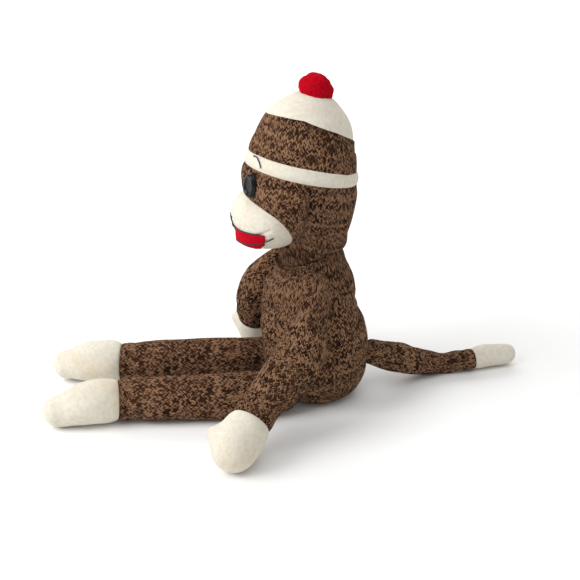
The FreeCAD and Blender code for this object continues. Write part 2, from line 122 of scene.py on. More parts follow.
class Nodes:
    """Short words for building one material's nodes."""

    def __init__(self, name):
        self.material = bpy.data.materials.new(name)
        self.material.use_nodes = True
        self.tree = self.material.node_tree
        self.shader = self.tree.nodes["Principled BSDF"]

    def add(self, kind, **settings):
        made = self.tree.nodes.new(kind)
        for key, value in settings.items():
            setattr(made, key, value)
        return made

    def put(self, value, socket):
        """Links a socket, or sets a plain value."""
        if isinstance(value, bpy.types.NodeSocket):
            self.tree.links.new(value, socket)
        else:
            socket.default_value = value

    def math(self, operation, first, second=0.0, third=0.0):
        made = self.add("ShaderNodeMath", operation=operation)
        for value, socket in zip((first, second, third), made.inputs):
            self.put(value, socket)
        return made.outputs[0]

    def mix(self, share, low, high):
        made = self.add("ShaderNodeMix", data_type="RGBA")
        self.put(share, made.inputs["Factor"])
        self.put(low, made.inputs["A"])
        self.put(high, made.inputs["B"])
        return made.outputs["Result"]

    def spread(self, value, low, high, to_low=0.0, to_high=1.0):
        made = self.add("ShaderNodeMapRange", interpolation_type="SMOOTHSTEP")
        for key, number in (("From Min", low), ("From Max", high), ("To Min", to_low), ("To Max", to_high)):
            made.inputs[key].default_value = number
        self.put(value, made.inputs["Value"])
        return made.outputs["Result"]

    def noise(self, vector, scale, detail=2.0, roughness=0.5):
        made = self.add("ShaderNodeTexNoise")
        self.put(vector, made.inputs["Vector"])
        made.inputs["Scale"].default_value = scale
        made.inputs["Detail"].default_value = detail
        made.inputs["Roughness"].default_value = roughness
        return made.outputs["Fac"]

    def vector(self, x, y, z=0.0):
        made = self.add("ShaderNodeCombineXYZ")
        for value, socket in zip((x, y, z), made.inputs):
            self.put(value, socket)
        return made.outputs[0]

    def bump(self, height, distance, strength=1.0, under=None):
        made = self.add("ShaderNodeBump")
        made.inputs["Strength"].default_value = strength
        made.inputs["Distance"].default_value = distance
        self.put(height, made.inputs["Height"])
        if under is not None:
            self.put(under, made.inputs["Normal"])
        return made.outputs["Normal"]

    def finish(self, colour, roughness, normal=None, gloss=0.06, sheen=0.0, sheen_roughness=0.5,
               tint=(1, 1, 1, 1)):
        self.put(colour, self.shader.inputs["Base Color"])
        self.put(roughness, self.shader.inputs["Roughness"])
        if normal is not None:
            self.put(normal, self.shader.inputs["Normal"])
        self.shader.inputs["Specular IOR Level"].default_value = gloss
        self.shader.inputs["Sheen Weight"].default_value = sheen
        self.shader.inputs["Sheen Roughness"].default_value = sheen_roughness
        self.shader.inputs["Sheen Tint"].default_value = tint
        return self.material


STITCH_WIDTH = 3.6 * MM
STITCH_HEIGHT = 1.1 * MM
STITCH_SLOPE = 1.8  # how many rows each leg of a stitch climbs
KNIT_DARK = (0.024, 0.0095, 0.0045, 1)
KNIT_BROWN = (0.056, 0.023, 0.0115, 1)
KNIT_TAN = (0.54, 0.30, 0.17, 1)
# Near-black of the painted shade in the gaps between stitches.
KNIT_GAP_SHADE = (0.006, 0.003, 0.002, 1)


def knit():
    """Stocking stitch in a yarn of a dark and a tan strand twisted together."""
    n = Nodes("knit_fabric")
    place = n.add("ShaderNodeUVMap", uv_map="fabric").outputs["UV"]
    wander = n.noise(place, 60.0, 1.0)
    split = n.add("ShaderNodeSeparateXYZ")
    n.put(place, split.inputs[0])
    column = n.math("DIVIDE", split.outputs["X"], STITCH_WIDTH)
    column = n.math("ADD", column, n.math("MULTIPLY", wander, 0.9))
    leg = n.math("ABSOLUTE", n.math("SUBTRACT", n.math("FRACT", column), 0.5))
    row = n.math("DIVIDE", split.outputs["Y"], STITCH_HEIGHT)
    row = n.math("ADD", row, n.math("MULTIPLY", leg, 2 * STITCH_SLOPE))
    row = n.math("ADD", row, n.math("MULTIPLY", n.noise(place, 180.0, 1.0), 1.6))
    # Each leg of a stitch is a small slanted strand, round across its length.
    up = n.math("ABSOLUTE", n.math("MULTIPLY_ADD", n.math("FRACT", row), 2.0, -1.0))
    out = n.math("ABSOLUTE", n.math("MULTIPLY_ADD", leg, 4.0, -1.0))
    relief = n.math("MULTIPLY", n.math("SUBTRACT", 1.0, n.math("POWER", up, 2.2)),
                    n.math("SUBTRACT", 1.0, n.math("POWER", out, 4.0)))
    # The tan strand shows along the middle of some stitches, by chance, in loose bands across the fabric.
    half_column = n.math("FLOOR", n.math("MULTIPLY", column, 2.0))
    course = n.math("FLOOR", row)
    chance = n.add("ShaderNodeTexWhiteNoise", noise_dimensions="2D")
    n.put(n.vector(half_column, course), chance.inputs["Vector"])
    runs = n.noise(n.vector(n.math("MULTIPLY", half_column, 0.55), n.math("MULTIPLY", course, 0.9)), 1.0, 1.0)
    bands = n.noise(n.vector(n.math("MULTIPLY", column, 0.045), n.math("MULTIPLY", row, 0.16)), 1.0, 2.0)
    shown = n.math("MULTIPLY_ADD", chance.outputs["Value"], 0.8, n.math("MULTIPLY", runs, 0.3))
    shown = n.math("ADD", shown, n.math("MULTIPLY_ADD", bands, 1.0, -0.5))
    tone = n.math("MULTIPLY", n.spread(shown, 0.34, 0.84), n.spread(up, 0.40, 0.95, 1.0, 0.0))
    base = n.mix(n.spread(n.noise(place, 34.0, 2.0), 0.35, 0.65), KNIT_DARK, KNIT_BROWN)
    colour = n.mix(tone, base, KNIT_TAN)
    # Painted shade: where the relief is low, in the gaps between stitches and rows, the colour is darkened
    # towards near-black.
    colour = n.mix(n.spread(relief, 0.0, 0.7, 0.3, 1.0), KNIT_GAP_SHADE, colour)
    normal = n.bump(relief, 0.8 * MM, 0.9)
    normal = n.bump(n.noise(place, 4200.0, 2.0), 0.25 * MM, 0.6, normal)
    return n.finish(colour, 0.95, normal)


NAP = 0.2 * MM


def pile(name, colour, shadow, soil=0.0, clump=300.0, depth=0.6 * MM, sheen=0.25):
    """Short-haired fleece: soft clumps, fine hairs, and soil that gathers in patches."""
    n = Nodes(name)
    place = n.add("ShaderNodeTexCoord").outputs["Object"]
    clumps = n.noise(place, clump, 3.0, 0.6)
    hairs = n.noise(place, 1900.0, 3.0, 0.6)
    tone = n.mix(n.spread(clumps, 0.25, 0.68, 0.45, 1.0), shadow, colour)
    tone = n.mix(n.spread(hairs, 0.40, 0.62, 0.0, 0.3), tone, shadow)
    if soil:
        grime = tuple(c * f for c, f in zip(colour, (0.80, 0.68, 0.52))) + (1,)
        tone = n.mix(n.spread(n.noise(place, 17.0, 4.0), 0.48, 0.75, 0.0, soil), tone, grime)
    normal = n.bump(clumps, depth, 0.5)
    normal = n.bump(hairs, NAP, 0.7, normal)
    return n.finish(tone, 0.95, normal, sheen=sheen, sheen_roughness=0.4, tint=colour)


def yarn(name, colour, gleam):
    """Twisted thread: two plies wound round each other, told by the UVs along it."""
    n = Nodes(name)
    split = n.add("ShaderNodeSeparateXYZ")
    n.put(n.add("ShaderNodeUVMap", uv_map="fabric").outputs["UV"], split.inputs[0])
    along = n.math("MULTIPLY", split.outputs["Y"], 1 / (0.9 * MM))
    round_it = n.math("MULTIPLY", split.outputs["X"], 1 / (1.1 * MM))
    twist = n.math("SINE", n.math("MULTIPLY", n.math("ADD", along, round_it), 2 * math.pi))
    lit = tuple(min(1.0, c * gleam + 0.012) for c in colour[:3]) + (1,)
    tone = n.mix(n.spread(twist, -1, 1), colour, lit)
    return n.finish(tone, 0.62, n.bump(twist, 0.12 * MM, 0.8), sheen=0.2)


def eye_gloss():
    n = Nodes("eye_gloss")
    place = n.add("ShaderNodeTexCoord").outputs["Object"]
    wear = n.spread(n.noise(place, 700.0, 4.0, 0.7), 0.5, 0.75, 0.0, 1.0)
    colour = n.mix(wear, (0.002, 0.002, 0.002, 1), (0.006, 0.006, 0.007, 1))
    n.finish(colour, n.spread(wear, 0, 1, 0.2, 0.36), n.bump(wear, 0.02 * MM, 0.3), gloss=0.22)
    n.shader.inputs["Coat Weight"].default_value = 0.06
    n.shader.inputs["Coat Roughness"].default_value = 0.05
    return n.material


def washer_finish():
    n = Nodes("washer_finish")
    place = n.add("ShaderNodeTexCoord").outputs["Object"]
    grain = n.noise(place, 900.0, 3.0)
    colour = n.mix(grain, (0.55, 0.55, 0.53, 1), (0.72, 0.72, 0.7, 1))
    return n.finish(colour, n.spread(grain, 0.2, 0.8, 0.35, 0.5), n.bump(grain, 0.03 * MM, 0.4), gloss=0.5)


CREAM = (0.74, 0.70, 0.605, 1)
CREAM_SHADE = (0.56, 0.51, 0.41, 1)
FINISH = {
    "knit": knit(),
    "fleece": pile("cream_fleece_pile", CREAM, CREAM_SHADE, soil=0.55),
    "red": pile("red_fleece_pile", (0.48, 0.0015, 0.012, 1), (0.22, 0.0, 0.004, 1), clump=420.0, sheen=0.03),
    "felt": pile("red_felt_pile", (0.52, 0.002, 0.016, 1), (0.36, 0.001, 0.008, 1), clump=900.0,
                 depth=0.2 * MM, sheen=0.03),
    "black": yarn("black_twist", (0.006, 0.006, 0.008, 1), 4.0),
    "brown": yarn("brown_twist", (0.035, 0.018, 0.011, 1), 3.0),
    "eye": eye_gloss(),
    "washer": washer_finish(),
}


# ---- Measuring the frame -----------------------------------------------------------------------

REACH = 90 * MM
LIMB_REACH = 300 * MM
depsgraph = bpy.context.evaluated_depsgraph_get()
trees = {}


def tree(node):
    if node not in trees:
        trees[node] = BVHTree.FromObject(frame["nodes"][node], depsgraph)
    return trees[node]


for node in frame["nodes"]:
    tree(node)


def outer(nodes, centre, direction, reach=REACH):
    """How far the outside of these nodes is from a point, in one direction, or None."""
    found = [tree(node).ray_cast(centre + direction * reach, -direction, reach)[3] for node in nodes]
    found = [reach - distance for distance in found if distance is not None]
    return max(found) if found else None


def joint_place(name):
    return Vector(next(joint["pos_m"] for joint in frame["joints"] if joint["name"] == name))


def box_middle(node):
    low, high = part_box(node)
    return (low + high) / 2


# ---- Mesh helpers ------------------------------------------------------------------------------

def grid_piece(name, rings, finish, columns=None, caps=(True, True)):
    """A piece from closed rings of points, with fabric UVs in metres: around, and along."""
    rings = np.array(rings, float)
    count, around = rings.shape[:2]
    points = [Vector(p) for p in rings.reshape(-1, 3)]
    faces, uvs = [], []
    steps = np.linalg.norm(np.diff(rings, axis=0), axis=2).mean(axis=1)
    along = np.concatenate([[0.0], np.cumsum(steps)])
    girth = np.linalg.norm(np.diff(np.concatenate([rings, rings[:, :1]], axis=1), axis=1), axis=2).sum(axis=1)
    width = np.percentile(girth, 80)
    if columns is None:
        columns = max(1, round(width / STITCH_WIDTH))
    width = columns * STITCH_WIDTH
    for i in range(count - 1):
        for k in range(around):
            right = (k + 1) % around
            faces.append((i * around + k, i * around + right, (i + 1) * around + right, (i + 1) * around + k))
            u0, u1 = width * k / around, width * (k + 1) / around
            uvs.append(((u0, along[i]), (u1, along[i]), (u1, along[i + 1]), (u0, along[i + 1])))
    for end, wanted in ((0, caps[0]), (count - 1, caps[1])):
        if not wanted:
            continue
        pole = len(points)
        ring = rings[end]
        points.append(Vector(ring.mean(axis=0)))
        reach = np.linalg.norm(ring - ring.mean(axis=0), axis=1).mean()
        v = along[end]
        tip = v - reach if end == 0 else v + reach
        for k in range(around):
            right = (k + 1) % around
            u0, u1 = width * k / around, width * (k + 1) / around
            corner = ((u0, v), (u1, v), ((u0 + u1) / 2, tip))
            face = (end * around + k, end * around + right, pole)
            if end == 0:
                face = (face[1], face[0], face[2])
                corner = (corner[1], corner[0], corner[2])
            faces.append(face)
            uvs.append(corner)
    mesh = bpy.data.meshes.new(name)
    mesh.from_pydata(points, [], faces)
    layer = mesh.uv_layers.new(name="fabric")
    layer.data.foreach_set("uv", [c for face in uvs for uv in face for c in uv])
    mesh.polygons.foreach_set("use_smooth", [True] * len(faces))
    mesh.materials.append(FINISH[finish])
    mesh.validate()
    piece = bpy.data.objects.new(name, mesh)
    scene.collection.objects.link(piece)
    outward(piece)
    return piece


def outward(piece):
    """Turns every face outwards, told by the sign of the closed mesh's volume."""
    mesh = piece.data
    mesh.calc_loop_triangles()
    volume = sum(mesh.vertices[a].co.dot(mesh.vertices[b].co.cross(mesh.vertices[c].co))
                 for a, b, c in (t.vertices for t in mesh.loop_triangles))
    if volume < 0:
        mesh.flip_normals()


def coordinates(piece):
    points = np.zeros(len(piece.data.vertices) * 3)
    piece.data.vertices.foreach_get("co", points)
    return points.reshape(-1, 3)


def set_coordinates(piece, points):
    piece.data.vertices.foreach_set("co", np.asarray(points, float).ravel())
    piece.data.update()


def apply_modifiers(piece):
    mesh = bpy.data.meshes.new_from_object(piece.evaluated_get(bpy.context.evaluated_depsgraph_get()))
    old = piece.data
    piece.modifiers.clear()
    piece.data = mesh
    bpy.data.meshes.remove(old)


def subdivide(piece, levels=1):
    piece.modifiers.new("smooth", "SUBSURF").levels = levels
    apply_modifiers(piece)


SETTLE_FRAMES = 20
FABRIC_MASS = 0.15
PRESSURE = 4.0


def stuff(piece, held, limit, slack=0.03):
    """Blows the fabric out with cloth simulation; `held` are the points that sewing holds in place."""
    before = coordinates(piece)
    group = piece.vertex_groups.new(name="held")
    group.add([int(i) for i in held], 1.0, "REPLACE")
    cloth = piece.modifiers.new("cloth", "CLOTH")
    cloth.settings.quality = 5
    cloth.settings.mass = FABRIC_MASS
    cloth.settings.use_pressure = True
    cloth.settings.uniform_pressure_force = PRESSURE
    cloth.settings.shrink_min = -slack
    cloth.settings.vertex_group_mass = "held"
    cloth.settings.effector_weights.gravity = 0
    cloth.collision_settings.use_collision = False
    cloth.point_cache.frame_start = 1
    cloth.point_cache.frame_end = SETTLE_FRAMES
    for number in range(1, SETTLE_FRAMES + 1):
        scene.frame_set(number)
    apply_modifiers(piece)
    scene.frame_set(1)
    moved = coordinates(piece) - before
    far = np.linalg.norm(moved, axis=1, keepdims=True)
    set_coordinates(piece, before + moved * np.minimum(1.0, limit / np.maximum(far, 1e-9)))


def lumpy(points, middle, height, size, seed=0.0):
    """Moves points away from or towards a middle line by smooth noise, as uneven stuffing does."""
    points = np.array(points, float)
    flat = points.reshape(-1, 3)
    centre = np.broadcast_to(np.asarray(middle, float), points.shape).reshape(-1, 3)
    for i, p in enumerate(flat):
        lift = noise.noise(Vector(p) / size + Vector((seed, 3 * seed, 7 * seed)))
        out = p - centre[i]
        flat[i] = p + out / max(np.linalg.norm(out), 1e-9) * lift * height
    return flat.reshape(points.shape)


def thread_piece(name, lines, radius, finish, sides=8):
    """Lengths of thread: round tubes along smooth lines, closed at both ends, in one piece."""
    made = []
    for number, line in enumerate(lines):
        line = smooth_line(line, 0.5 * MM)
        rings = []
        side = None
        for i, point in enumerate(line):
            heading = (line[min(i + 1, len(line) - 1)] - line[max(i - 1, 0)]).normalized()
            side = heading.orthogonal() if side is None else side - heading * side.dot(heading)
            side.normalize()
            other = heading.cross(side)
            share = 0.55 if i in (0, len(line) - 1) else 1.0
            turns = [2 * math.pi * k / sides for k in range(sides)]
            rings.append([point + (side * math.cos(a) + other * math.sin(a)) * radius * share for a in turns])
        made.append(grid_piece(f"{name}_{number}", rings, finish, columns=1))
    return joined(name, made)


def joined(name, pieces):
    """Several pieces as one."""
    with bpy.context.temp_override(active_object=pieces[0], selected_editable_objects=pieces,
                                   selected_objects=pieces, object=pieces[0]):
        if len(pieces) > 1:
            bpy.ops.object.join()
    pieces[0].name = name
    return pieces[0]


def smooth_line(points, step):
    """Points about a step apart along a smooth curve through the given ones (Catmull-Rom)."""
    points = [Vector(p) for p in points]
    ends = [points[0] * 2 - points[1], *points, points[-1] * 2 - points[-2]]
    line = []
    for a, b, c, d in zip(ends, ends[1:], ends[2:], ends[3:]):
        count = max(1, math.ceil((c - b).length / step))
        for k in range(count):
            t = k / count
            line.append(0.5 * (2 * b + (c - a) * t + (2 * a - 5 * b + 4 * c - d) * t * t
                               + (3 * b - a - 3 * c + d) * t ** 3))
    return [*line, points[-1]]


# ---- Tubes of fabric measured from the frame ---------------------------------------------------

RING_STEP = 3.0 * MM
RING_POINTS = 56
CAP_RINGS = 7


def ring_hits(nodes, centre, heading, count):
    side = heading.orthogonal().normalized()
    other = heading.cross(side)
    turns = [2 * math.pi * k / count for k in range(count)]
    directions = [side * math.cos(a) + other * math.sin(a) for a in turns]
    lengths = [outer(nodes, centre, d) for d in directions]
    return [centre + d * r for d, r in zip(directions, lengths) if r is not None]


def follow(nodes, start, heading):
    """The middle line of a limb and its radii, felt out ring by ring from its root to near its tip."""
    line, radii = [start.copy()], []
    while True:
        guess = line[-1] + heading * RING_STEP
        for _ in range(2):
            hits = ring_hits(nodes, guess, heading, 12)
            shift = sum(hits, Vector()) / len(hits) - guess
            guess += shift - heading * shift.dot(heading)
        radius = sum((h - guess).length for h in hits) / len(hits)
        ahead = outer(nodes, guess, heading, LIMB_REACH)
        heading = (heading * 2 + (guess - line[-1]).normalized()).normalized()
        line.append(guess)
        radii.append(radius)
        if ahead is None or ahead < radius * 1.05:
            break
    return line, [radii[0], *radii]


def smoothed(values, rounds):
    """The same list, each value eased towards its neighbours; the ends stay."""
    values = np.array(values, float)
    for _ in range(rounds):
        values[1:-1] = (values[:-2] + 2 * values[1:-1] + values[2:]) / 4
    return values


class Limb:
    """A limb's middle line, with a steady frame and a radius at every ring."""

    def __init__(self, nodes, root, towards):
        line, radii = follow(nodes, root, towards.normalized())
        self.line = [Vector(p) for p in smoothed(line, 4)]
        self.radii = smoothed(radii, 3)
        self.headings, self.sides = [], []
        side = Vector((0, 0, 1))
        for i in range(len(self.line)):
            heading = self.line[min(i + 1, len(self.line) - 1)] - self.line[max(i - 1, 0)]
            heading.normalize()
            side = (side - heading * side.dot(heading)).normalized()
            self.headings.append(heading)
            self.sides.append(side.copy())
        self.tip_reach = outer(nodes, self.line[-1], self.headings[-1], LIMB_REACH) or self.radii[-1]

    def direction(self, i, angle):
        """Out from the middle line: angle 0 is the side nearest to straight up."""
        other = self.headings[i].cross(self.sides[i])
        return self.sides[i] * math.cos(angle) + other * math.sin(angle)

    def ring(self, i, scale=1.0, forward=0.0):
        turns = [2 * math.pi * k / RING_POINTS for k in range(RING_POINTS)]
        start = self.line[i] + self.headings[i] * forward
        return [start + self.direction(i, a) * self.radii[i] * scale for a in turns]

    def dome(self, i, reach, backwards=False):
        """Rings that close the tube over a rounded end, from its rim to near the pole."""
        rings = []
        for k in range(1, CAP_RINGS + 1):
            polar = math.pi / 2 * k / (CAP_RINGS + 0.6)
            forward = reach * math.sin(polar) * (-1 if backwards else 1)
            rings.append(self.ring(i, math.cos(polar), forward))
        return rings[::-1] if backwards else rings


# ---- Torso -------------------------------------------------------------------------------------

NECK = joint_place("neck_nod")
HEAD_LEAN = math.radians(-5)
HEAD_PITCH = math.radians(-12)
HEAD = Matrix.Translation(NECK) @ Matrix.Rotation(HEAD_LEAN, 4, "Y") @ Matrix.Rotation(HEAD_PITCH, 4, "X")
HEAD_UP = (HEAD.to_3x3() @ Vector((0, 0, 1))).normalized()
SEAM_RADIUS = 25.5 * MM
TORSO_RINGS = 44
TORSO_AROUND = 96
NECK_RINGS = 5
SEAM_UP = Vector((-0.03, -0.40, 0.91)).normalized()  # the neck seam is higher at the back


def torso_rings():
    low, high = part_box("torso_shell")
    middle = box_middle("torso_shell")
    rings = []
    heights = np.linspace(low.z + 0.4 * MM, high.z - 0.5 * MM, TORSO_RINGS)
    for height in heights:
        centre = Vector((0, middle.y, height))
        for _ in range(2):
            hits = ring_hits(["torso_shell"], centre, Vector((0, 0, 1)), 16)
            shift = sum(hits, Vector()) / len(hits) - centre
            centre += Vector((shift.x, shift.y, 0))
        radius = sum((h - centre).length for h in hits) / len(hits)
        rings.append((centre, radius))
    centres = smoothed([c for c, _ in rings], 3)
    radii = smoothed([r for _, r in rings], 2)
    turns = [2 * math.pi * k / TORSO_AROUND for k in range(TORSO_AROUND)]
    body = [[Vector(c) + Vector((-math.sin(a), math.cos(a), 0)) * r for a in turns]
            for c, r in zip(centres, radii)]
    # The neck rises from the shoulders to the seam under the head.
    last, wide = Vector(centres[-1]), radii[-1]
    for k in range(1, NECK_RINGS + 1):
        share = k / NECK_RINGS
        centre = last.lerp(NECK, share)
        radius = wide + (SEAM_RADIUS - wide) * share
        tilt = SEAM_UP.lerp(Vector((0, 0, 1)), 1 - share).normalized()
        turn = Vector((0, 0, 1)).rotation_difference(tilt)
        body.append([centre + turn @ Vector((-math.sin(a), math.cos(a), 0)) * radius for a in turns])
    for scale in (0.86, 0.6, 0.3):
        ring = body[len(heights) + NECK_RINGS - 1]
        body.append([NECK + Vector((0, 0, 1 * MM)) + (p - NECK) * scale for p in ring])
    base = [np.array([[p.x * s, middle.y + (p.y - middle.y) * s, low.z + 0.1 * MM] for p in body[0]])
            for s in (0.3, 0.7, 0.93)]
    return [*base, *[np.array([list(p) for p in ring]) for ring in body]], len(base), NECK_RINGS + 3


def make_torso():
    rings, base, top = torso_rings()
    middles = np.array([r.mean(axis=0) for r in rings])[:, None, :]
    body = slice(base + 2, len(rings) - top)
    shaped = np.array(rings)
    shaped[body] = lumpy(shaped[body], middles[body], 1.0 * MM, 24 * MM, 0.3)
    around = shaped.shape[1]
    piece = grid_piece("torso_skin", shaped, "knit")
    held = [i for i in range(len(piece.data.vertices))
            if i < (base + 2) * around or i >= (len(rings) - top) * around]
    stuff(piece, held, 5 * MM)
    subdivide(piece)
    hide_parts("torso_shell", "torso_stuffing", "neck_plug")
    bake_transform(piece)


# ---- Head --------------------------------------------------------------------------------------

HEAD_NODES = ("head_shell", "forehead_band", "hat_side", "hat_crown")
HEAD_TABLE = {}
HEAD_BASE = 9.5 * MM
HEAD_STEP = 1.5 * MM


def measure_head():
    """The head's round sections: how far each is forward of the axis, and its radius, by height."""
    turn = HEAD.to_3x3()
    backwards, sideways = turn @ Vector((0, 1, 0)), turn @ Vector((1, 0, 0))
    heights, shifts, radii = [], [], []
    height, shift = HEAD_BASE, 0.0
    while True:
        centre = HEAD @ Vector((0, shift, height))
        back = outer(HEAD_NODES, centre, backwards)
        wide = outer(HEAD_NODES, centre, sideways)
        if back is None or wide is None or height > 0.2:
            break
        step = (back ** 2 - wide ** 2) / (2 * back)
        shift += step
        heights.append(height)
        shifts.append(shift)
        radii.append(back - step)
        height += HEAD_STEP
    HEAD_TABLE["height"] = heights
    HEAD_TABLE["shift"] = smoothed(shifts, 3)
    HEAD_TABLE["radius"] = smoothed(radii, 3)
    HEAD_TABLE["top"] = outer(["hat_crown"], HEAD @ Vector((0, shifts[-1], 0)), HEAD_UP, LIMB_REACH)
    HEAD_TABLE["height"].append(HEAD_TABLE["top"])
    HEAD_TABLE["shift"] = np.append(HEAD_TABLE["shift"], shifts[-1])
    HEAD_TABLE["radius"] = np.append(HEAD_TABLE["radius"], 1.0 * MM)


def head_point(angle, height, proud=0.0):
    """A point on the head's surface, by its angle from the front, positive to the left, and its height."""
    shift = np.interp(height, HEAD_TABLE["height"], HEAD_TABLE["shift"])
    radius = np.interp(height, HEAD_TABLE["height"], HEAD_TABLE["radius"]) + proud
    return HEAD @ Vector((radius * math.sin(angle), shift - radius * math.cos(angle), height))


def head_out(angle, height):
    """The way out of the head's surface there."""
    step = 2 * MM
    up = head_point(angle, height + step) - head_point(angle, height - step)
    around = head_point(angle + 0.03, height) - head_point(angle - 0.03, height)
    return around.cross(up).normalized()


HEAD_AROUND = 112
BAND_BOTTOM = 66.6 * MM
BAND_TOP = 74.8 * MM
CUFF_TOP = 88 * MM
# Degrees from the front, and mm up the head.
CROWN_SEAM = ((0, 107.7), (44, 111), (74, 112), (122, 107), (180, 97.6))


def crown_seam(angle):
    turns, heights = zip(*CROWN_SEAM)
    eased = np.interp(abs(math.degrees(angle)), turns, heights)
    return float(eased) * MM


def head_turns():
    return [2 * math.pi * k / HEAD_AROUND - math.pi for k in range(HEAD_AROUND)]


def head_ring(height_of, proud_of):
    return [list(head_point(a, height_of(a), proud_of(a))) for a in head_turns()]


def inward(ring, middle, scales):
    """Rings that close a ring towards a middle point."""
    ring = np.array(ring)
    return [np.array(middle) + (ring - np.array(middle)) * s for s in scales]


def make_face():
    heights = np.linspace(HEAD_BASE, BAND_BOTTOM + 2.5 * MM, 24)
    rings = [head_ring(lambda a, h=h: h, lambda a, h=h: -0.6 * MM if h > BAND_BOTTOM else 0.0)
             for h in heights]
    first = np.array(rings[0])
    neck = []
    for share in (0.02, 0.25, 0.5, 0.75):
        ways = [Vector(p) - NECK for p in first]
        seam = [NECK + (way - SEAM_UP * way.dot(SEAM_UP)).normalized() * SEAM_RADIUS for way in ways]
        eased = share ** 0.6
        neck.append([[a + (b - a) * t for a, b, t in zip(s, p, (eased, eased, share))]
                     for s, p in zip(seam, first)])
    bottom = inward(neck[0], NECK - Vector((0, 0, 0.5 * MM)), (0.35, 0.8))
    lid_middle = HEAD @ Vector((0, -10 * MM, heights[-1]))
    lid = inward(rings[-1], lid_middle, (0.9, 0.5))
    shaped = np.array([*bottom, *neck, *rings, *lid], float)
    inner = slice(len(bottom) + 2, len(bottom) + len(neck) + len(rings) - 4)
    middles = shaped.mean(axis=1, keepdims=True)
    shaped[inner] = lumpy(shaped[inner], middles[inner], 0.7 * MM, 22 * MM, 1.7)
    piece = grid_piece("face_skin", shaped, "knit")
    around = HEAD_AROUND
    held = [i for i in range(len(piece.data.vertices))
            if i < (len(bottom) + 1) * around or i >= (len(bottom) + len(neck) + len(rings) - 3) * around]
    stuff(piece, held, 3 * MM, slack=0.015)
    subdivide(piece)
    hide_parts("head_shell", "head_stuffing", "neck_seam")
    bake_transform(piece)


STRIP_SINK = 3.0 * MM


def strip_piece(name, finish, low_of, high_of, thickness_of, edge, steps=10):
    """A closed belt of fabric round the head, swollen in the middle, with its edges turned in."""
    rings = []
    for k in range(steps + 1):
        share = k / steps
        swell = 1 - abs(2 * share - 1) ** edge
        rings.append(head_ring(lambda a: low_of(a) + (high_of(a) - low_of(a)) * share,
                               lambda a: thickness_of(a) * swell))
    for share in (1.0, 0.5, 0.0):
        rings.append(head_ring(lambda a: low_of(a) + (high_of(a) - low_of(a)) * share, lambda a: -STRIP_SINK))
    rings.append(rings[0])
    return grid_piece(name, rings, finish, caps=(False, False))


def band_edge(height, angle):
    """The band's edge rises a little over each temple."""
    return height + (2.0 * abs(math.sin(angle)) + 0.6 * (1 + math.cos(angle))) * MM


def make_band():
    piece = strip_piece("brow_band", "fleece", lambda a: BAND_BOTTOM - 0.5 * MM,
                        lambda a: band_edge(BAND_TOP, a) + 0.5 * MM,
                        lambda a: 1.5 * MM, 2.4)
    subdivide(piece)
    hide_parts("forehead_band")
    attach(piece, "head")


def make_cuff():
    piece = strip_piece("hat_roll", "knit", lambda a: band_edge(BAND_TOP, a) - 0.3 * MM,
                        lambda a: CUFF_TOP + 1.2 * MM,
                        lambda a: (0.6 + 0.4 * math.cos(a)) * MM, 5.0, steps=14)
    middle = HEAD @ Vector((0, -22 * MM, 81 * MM))
    set_coordinates(piece, lumpy(coordinates(piece), middle, 0.7 * MM, 15 * MM, 2.9))
    subdivide(piece)
    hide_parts("hat_cuff")
    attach(piece, "head")


def make_hat_side():
    piece = strip_piece("hat_wall", "knit", lambda a: CUFF_TOP - 2 * MM, lambda a: crown_seam(a) + 0.6 * MM,
                        lambda a: (0.1 + 0.6 * math.cos(a)) * MM, 6.0, steps=12)
    middle = HEAD @ Vector((0, -23 * MM, 97 * MM))
    set_coordinates(piece, lumpy(coordinates(piece), middle, 0.6 * MM, 18 * MM, 4.1))
    subdivide(piece)
    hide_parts("hat_side")
    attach(piece, "head")


def make_crown():
    top = HEAD_TABLE["top"] - 0.3 * MM
    rings = []
    for k in range(20):
        share = math.sin(math.pi / 2 * k / 19.6)
        swell = 0.3 * MM * min(1.0, (k + 0.3) / 2.5) ** 0.5
        rings.append(head_ring(lambda a: crown_seam(a) + (top - crown_seam(a)) * share,
                               lambda a: swell + 1.1 * MM * (math.cos(a) - 1) / 2))
    under = [head_ring(lambda a: crown_seam(a) - 0.5 * MM, lambda a: -d) for d in (1 * MM, 6 * MM)]
    under = [*inward(under[-1], HEAD @ Vector((0, -24 * MM, 104 * MM)), (0.5,)), under[1], under[0]]
    shaped = np.array([*under, *rings], float)
    shaped[4:] = lumpy(shaped[4:], list(HEAD @ Vector((0, -24 * MM, 95 * MM))), 0.8 * MM, 20 * MM, 5.3)
    piece = grid_piece("hat_dome", shaped, "fleece")
    held = range(4 * HEAD_AROUND)
    stuff(piece, held, 2 * MM, slack=0.01)
    subdivide(piece)
    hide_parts("hat_crown")
    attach(piece, "head")


def ball_rings(centre, up, halves, around, count):
    """Rings of an egg shape: halves are its half sizes to the left, forward and up."""
    side = up.orthogonal().normalized()
    forward = up.cross(side)
    rings = []
    for i in range(1, count):
        polar = math.pi * i / count - math.pi / 2
        turns = [2 * math.pi * k / around for k in range(around)]
        rings.append([centre + up * halves[2] * math.sin(polar)
                      + (side * halves[0] * math.cos(a) + forward * halves[1] * math.sin(a)) * math.cos(polar)
                      for a in turns])
    return np.array([[list(p) for p in ring] for ring in rings])


POMPOM_SINK = 4.6 * MM


def make_pompom():
    low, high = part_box("pompom_cover")
    half = (high - low) / 2
    size = (half.x + half.y + half.z) / 3
    centre = (low + high) / 2 - HEAD_UP * POMPOM_SINK
    lean = (HEAD_UP + Vector((0, 0.35, 0))).normalized()
    rings = ball_rings(centre, lean, (size * 1.1, size * 1.1, size * 0.93), 96, 60)
    rings = lumpy(rings, list(centre), 2.2 * MM, 14 * MM, 0.9)
    rings = lumpy(rings, list(centre), 0.9 * MM, 3.6 * MM, 2.2)
    rings = lumpy(rings, list(centre), 0.5 * MM, 1.5 * MM, 3.3)
    piece = grid_piece("pompom_ball", rings, "red")
    subdivide(piece)
    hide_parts("pompom_cover", "pompom_stuffing")
    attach(piece, "head")


